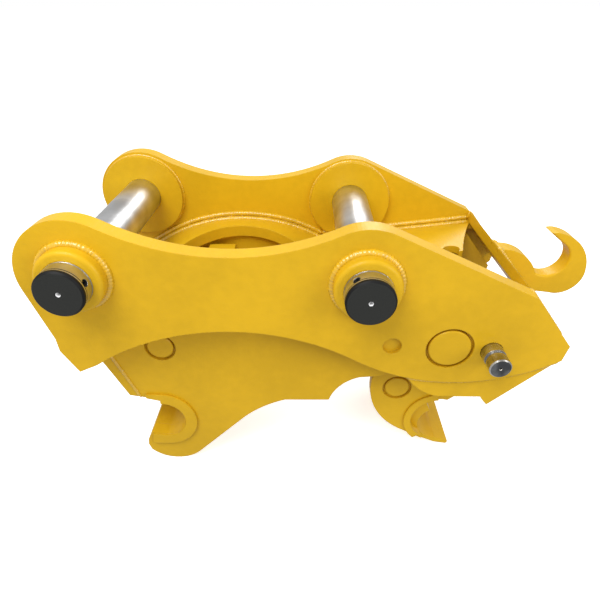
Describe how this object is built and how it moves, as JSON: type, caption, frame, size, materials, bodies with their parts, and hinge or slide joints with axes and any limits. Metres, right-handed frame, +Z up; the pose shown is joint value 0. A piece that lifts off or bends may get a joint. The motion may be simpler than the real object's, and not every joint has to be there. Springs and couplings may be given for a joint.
{
  "type": "hydraulic quick coupler",
  "caption": "Pin-grabber quick coupler: welded side plates on main pins, fixed front jaw, hydraulic rear hook, safety pin and lifting hook.",
  "frame": {"origin": "on the floor under the middle of the whole part, in the plane halfway between the side plates", "axes": "+X from the front pin to the lifting hook, +Y across toward the valve block side, +Z up"},
  "size_m": [1.0437, 0.548, 0.5849],
  "materials": {
    "paint": "gloss enamel over welded plate",
    "hook_paint": "gloss enamel, worn bright on the seat",
    "cylinder_paint": "gloss enamel on smooth tube",
    "valve_paint": "gloss enamel on machined block",
    "lifting_paint": "gloss enamel on flame-cut hook",
    "pin_steel": "ground, with dark end faces",
    "safety_pin_steel": "bright drawn bar",
    "bush_bronze": "plain bearing bronze",
    "rod_chrome": "polished",
    "inner_steel": "turned",
    "seal_rubber": "matt"
  },
  "bodies": {
    "frame": {"side_plate_near": "paint", "side_plate_far": "paint", "rear_cheek_near": "paint", "rear_cheek_far": "paint", "lower_plate_near": "paint", "lower_plate_far": "paint", "arch_deck": "paint", "rear_deck": "paint", "rear_cross_plate": "paint", "lifting_hook": "lifting_paint", "nose_plate": "paint", "front_saddle": "paint", "front_jaw_pads": "paint", "outer_bosses": "paint", "inner_pads": "paint", "hook_pivot_pin": "paint", "cylinder_base_pin": "paint", "valve_block": "valve_paint", "valve_bracket": "paint"},
    "front_pin": {"front_main_pin": "pin_steel"},
    "rear_pin": {"rear_main_pin": "pin_steel"},
    "safety_pin": {"safety_pin": "safety_pin_steel"},
    "hook": {"hook_cheek_near": "paint", "hook_cheek_far": "paint", "hook_jaw_pads": "paint", "hook_saddle": "hook_paint", "hook_pivot_tube": "paint", "hook_pivot_bushes": "bush_bronze", "hook_back_plate": "paint", "rod_pin": "paint"},
    "barrel": {"base_eye": "cylinder_paint", "base_eye_bush": "bush_bronze", "barrel_end_cap": "cylinder_paint", "cylinder_barrel": "cylinder_paint", "cylinder_gland": "paint", "rod_wiper": "seal_rubber"},
    "rod": {"cylinder_rod": "rod_chrome", "piston": "inner_steel", "piston_seal": "seal_rubber", "rod_eye": "cylinder_paint", "rod_eye_bush": "bush_bronze"}
  },
  "joints": [
    {"name": "hook_swing", "type": "hinge", "parent": "frame", "child": "hook", "pos_m": [0.2048, 0, 0.347], "axis": [0, 1, 0], "range_deg": [0, 28]},
    {"name": "barrel_swing", "type": "hinge", "parent": "frame", "child": "barrel", "pos_m": [-0.3272, 0, 0.306], "axis": [0, 1, 0], "range_deg": [-3.6, 0]},
    {"name": "rod_stroke", "type": "slide", "parent": "barrel", "child": "rod", "axis": [0.9678, 0, -0.2518], "range_m": [-0.0796, 0]},
    {"name": "front_pin_out", "type": "slide", "parent": "frame", "child": "front_pin", "axis": [0, -1, 0], "range_m": [0, 0.56]},
    {"name": "rear_pin_out", "type": "slide", "parent": "frame", "child": "rear_pin", "axis": [0, -1, 0], "range_m": [0, 0.56]},
    {"name": "safety_pin_out", "type": "slide", "parent": "frame", "child": "safety_pin", "axis": [0, -1, 0], "range_m": [0, 0.46]}
  ],
  "couplings": [
    {"joint": "barrel_swing", "follows": "hook_swing", "ratio": -0.1284},
    {"joint": "rod_stroke", "follows": "hook_swing", "m_per_rad": -0.16266}
  ]
}
